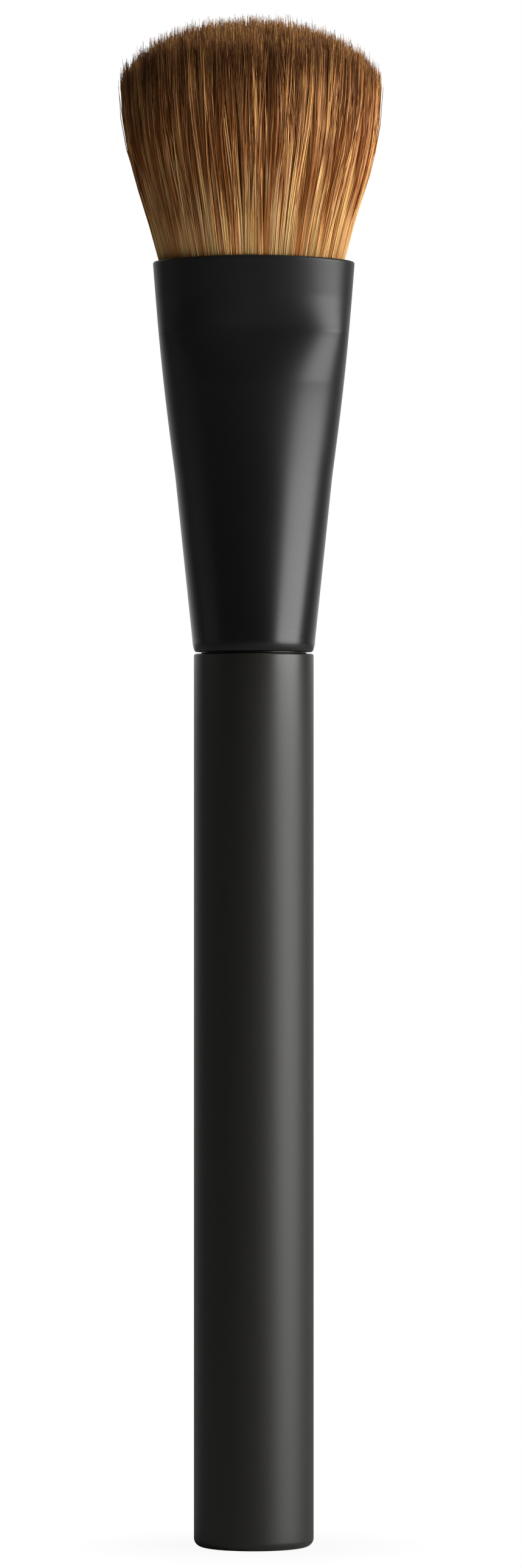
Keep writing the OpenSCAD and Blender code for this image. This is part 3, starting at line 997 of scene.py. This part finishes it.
def resin_finish(name, thin, thick, bubbles):
    """Cast resin: cloudy colour, with small bubbles in its surface."""
    material, tree, shader = new_finish(name)
    cloud = object_noise(tree, RESIN_CLOUD, detail=4)
    bubble = {"Vector": object_place(tree), "Scale": bubbles}
    cells = add_node(tree, "ShaderNodeTexVoronoi", bubble)
    pits = share_between(Number(tree, cells.outputs["Distance"]), BUBBLE_PIT, BUBBLE_EDGE)
    inputs = {
        "Base Color": between_colours(tree, cloud, thin, thick),
        "Roughness": 0.2 + 0.12 * cloud,
        "Specular IOR Level": 0.5,
    }
    feed(tree, shader, inputs)
    add_bump(tree, shader, pits, 0.05 * MM)
    return material


adhesive = resin_finish("amber_adhesive", (0.42, 0.27, 0.1), (0.62, 0.46, 0.22), 1400)
resin = resin_finish("potting_resin", (0.28, 0.15, 0.05), (0.46, 0.28, 0.11), 900)
print("finishes:", adhesive.name, "and", resin.name)

# %% Set hair and thread
GLUE_STREAKS, THREAD_FUZZ = (5200, 5200, 90), (4000, 4000, 4000)
STRANDS_AROUND, STRANDS_UP = 90, 9000


def set_hair_finish():
    """Hair set in glue: streaks along the hair under a glossy coat."""
    material, tree, shader = new_finish("set_hair")
    streaks = object_noise(tree, GLUE_STREAKS, detail=3)
    inputs = {
        "Base Color": between_colours(tree, streaks, (0.09, 0.034, 0.011), (0.42, 0.2, 0.075)),
        "Roughness": 0.28 + 0.2 * streaks,
        "Specular IOR Level": 0.5,
    }
    feed(tree, shader, inputs)
    add_bump(tree, shader, streaks, 0.06 * MM)
    return material


def thread_finish():
    """Twisted thread: bands that lean across it, where its strands show."""
    material, tree, shader = new_finish("twisted_thread")
    x, y, z = parts_of(tree, object_place(tree))
    turn = y.step("ARCTAN2", y, x)
    bands = sine(turn * STRANDS_AROUND + z * STRANDS_UP) * 0.5 + 0.5
    fuzz = object_noise(tree, THREAD_FUZZ, detail=2)
    shade = 0.65 * bands + 0.35 * fuzz
    inputs = {
        "Base Color": between_colours(tree, shade, (0.42, 0.36, 0.27), (0.8, 0.75, 0.64)),
        "Roughness": 0.75 + 0.15 * fuzz,
        "Specular IOR Level": 0.2,
    }
    feed(tree, shader, inputs)
    add_bump(tree, shader, shade, 0.06 * MM)
    return material


set_hair, thread = set_hair_finish(), thread_finish()
print("finishes:", set_hair.name, "and", thread.name)

# %% Finish the hidden pieces
hidden = {
    "handle_adhesive": adhesive,
    "root_resin": resin,
    "hair_root_plug": set_hair,
    "binding_thread": thread,
}
for name, finish in hidden.items():
    nodes[name].data.materials.clear()
    nodes[name].data.materials.append(finish)
print("hidden pieces:", ", ".join(hidden))

# %% [markdown]
# The hairs stand in a bed: the top of the glued block, which fills the ferrule's mouth a little below the
# rim. It is a plain oval plate by the ferrule's own rule, with a soft upper edge. It hardly shows between
# the hairs, but without it one could look down into the shell.

# %% The bed of set hair
BED_GAP, BED_EDGE = 0.04 * MM, 0.2 * MM


def bed_rings(around=96):
    inset = WALL + BED_GAP
    rings = []
    rounding = 0.3 * BED_EDGE
    steps = ((tuft_low.z, 0), (BED - BED_EDGE, 0), (BED - rounding, rounding), (BED, BED_EDGE))
    for height, step_in in steps:
        across = half_width(height) - inset - step_in
        deep = half_depth(height) - inset - step_in
        turns = [math.tau * step / around for step in range(around)]
        rings.append([(*oval(turn, across, deep, squareness(height)), height) for turn in turns])
    return rings


kept_piece("glued_hair_bed", bed_rings(), set_hair, "hair_tuft")

# %% [markdown]
# ## The studio
#
# The photograph was lit by one tall soft light on the right, almost beside the brush, with a weak fill on
# the left, in front of a plain white ground. Black gloss shows this plainly: the handle is dark but for one
# long highlight. The lamps stay at a plain level, and oval ones give the highlight its soft ends.


# %% Lamps
def softbox(name, azimuth, distance, width, height, centre, radiance, tilt=0):
    """A soft oval light on a circle round the brush. Azimuth 0 is the camera's side and 90 is the right."""
    light = bpy.data.lights.new(name, "AREA")
    light.shape = "ELLIPSE"
    light.size, light.size_y = width, height
    light.energy = radiance * math.pi * (math.pi / 4 * width * height)
    lamp = bpy.data.objects.new(name, light)
    angle = math.radians(azimuth)
    lamp.location = (distance * math.sin(angle), -distance * math.cos(angle), centre)
    lamp.rotation_euler = (math.radians(90 - tilt), 0, angle)
    bpy.context.scene.collection.objects.link(lamp)
    print(name, "light in watts:", round(light.energy, 2))


softbox("key", azimuth=69, distance=0.6, width=0.6, height=0.56, centre=0.18, radiance=6.3)
softbox("top", azimuth=65, distance=0.3, width=0.5, height=0.5, centre=0.75, radiance=1.1, tilt=65)
softbox("fill", azimuth=-85, distance=0.8, width=0.6, height=0.5, centre=0.2, radiance=0.14)

# %% [markdown]
# The white ground is the backdrop's own colour, as the camera and the gloss see it, and not more light,
# which would wash the black out. Light Path tells these rays apart. Gloss and glass see the white ahead of
# the camera only, where the real backdrop hung, so the handle's sides stay dark.

# %% World
DIM_LEVEL, WHITE_LEVEL = 0.09, 1.0
AHEAD_START, AHEAD_FULL = 0.5, 1.0


def rays(tree):
    """Whether a ray comes from the camera, and whether gloss or glass has sent it on."""
    path = add_node(tree, "ShaderNodeLightPath").outputs
    sent_on = larger(Number(tree, path["Is Glossy Ray"]), Number(tree, path["Is Transmission Ray"]))
    return Number(tree, path["Is Camera Ray"]), sent_on


def studio_world():
    world = bpy.data.worlds.new("studio")
    bpy.context.scene.world = world
    world.use_nodes = True
    tree = world.node_tree
    tree.nodes.clear()
    direction = add_node(tree, "ShaderNodeTexCoord").outputs["Generated"]
    backdrop = share_between(parts_of(tree, direction)[1], AHEAD_START, AHEAD_FULL)
    from_camera, sent_on = rays(tree)
    seen = larger(from_camera, sent_on * backdrop)
    dim = add_node(tree, "ShaderNodeBackground", {"Color": (1, 1, 1), "Strength": DIM_LEVEL})
    white = add_node(tree, "ShaderNodeBackground", {"Color": (1, 1, 1), "Strength": WHITE_LEVEL})
    mix = add_node(tree, "ShaderNodeMixShader", {0: seen, 1: dim.outputs[0], 2: white.outputs[0]})
    add_node(tree, "ShaderNodeOutputWorld", {"Surface": mix.outputs[0]})
    print("world:", world.name)


studio_world()

# %% [markdown]
# The floor is as white as the backdrop, so no horizon shows. In a small disc round the brush its lit colour
# comes through a little: the disc is a faint painted shade, and it lets the lamps' real faint shadow show
# too, which keeps the brush from floating.

# %% Floor
FLOOR_HALF, FLOOR_GAP = 6.0, 0.02 * MM
CONTACT_REACH, CONTACT_SHADE = 20 * MM, 0.1
NEAREST = 1 * MM
BACKDROP_START, BACKDROP_FULL = 0.5, 2.0


def floor_finish():
    material, tree, shader = new_finish("white_ground")
    feed(tree, shader, {"Base Color": (0.6, 0.6, 0.6), "Roughness": 0.7, "Specular IOR Level": 0.2})
    place = object_place(tree)
    length = add_node(tree, "ShaderNodeVectorMath", {0: place}, operation="LENGTH")
    distance = Number(tree, length.outputs["Value"])
    # A small disc of painted shade round the brush, which also lets the lamps' real shadow through.
    painted_shade_disc = 1 - share_between(distance, 0.0, CONTACT_REACH)
    behind = parts_of(tree, place)[1] / larger(distance, NEAREST)
    far = share_between(distance, BACKDROP_START, BACKDROP_FULL)
    far = far * share_between(behind, AHEAD_START, AHEAD_FULL)
    from_camera, sent_on = rays(tree)
    seen = larger(from_camera * (1 - CONTACT_SHADE * painted_shade_disc), sent_on * far)
    glow = add_node(tree, "ShaderNodeEmission", {"Color": (1, 1, 1), "Strength": WHITE_LEVEL})
    mix = add_node(tree, "ShaderNodeMixShader", {0: seen, 1: shader.outputs[0], 2: glow.outputs[0]})
    feed(tree, tree.nodes["Material Output"], {"Surface": mix.outputs[0]})
    return material


def lay_floor():
    mesh = bpy.data.meshes.new("floor")
    corners = [(x * FLOOR_HALF, y * FLOOR_HALF, -FLOOR_GAP) for x, y in ((-1, -1), (1, -1), (1, 1), (-1, 1))]
    mesh.from_pydata(corners, [], [(0, 1, 2, 3)])
    mesh.materials.append(floor_finish())
    floor = bpy.data.objects.new("floor", mesh)
    bpy.context.scene.collection.objects.link(floor)
    floor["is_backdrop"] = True
    print("floor:", 2 * FLOOR_HALF, "m wide")


lay_floor()

# %% [markdown]
# ## Measure and finish
#
# Last, the dressed brush is measured, and its size is set beside that of its solids, because dress may
# change looks but not size.

# %% Measure the dressed size
visual_low, visual_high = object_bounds()
sizes = {"cad": [list(cad_low), list(cad_high)], "visual": [list(visual_low), list(visual_high)]}
print("dressed size in mm:", [round((high - low) / MM, 2) for low, high in zip(visual_low, visual_high)])
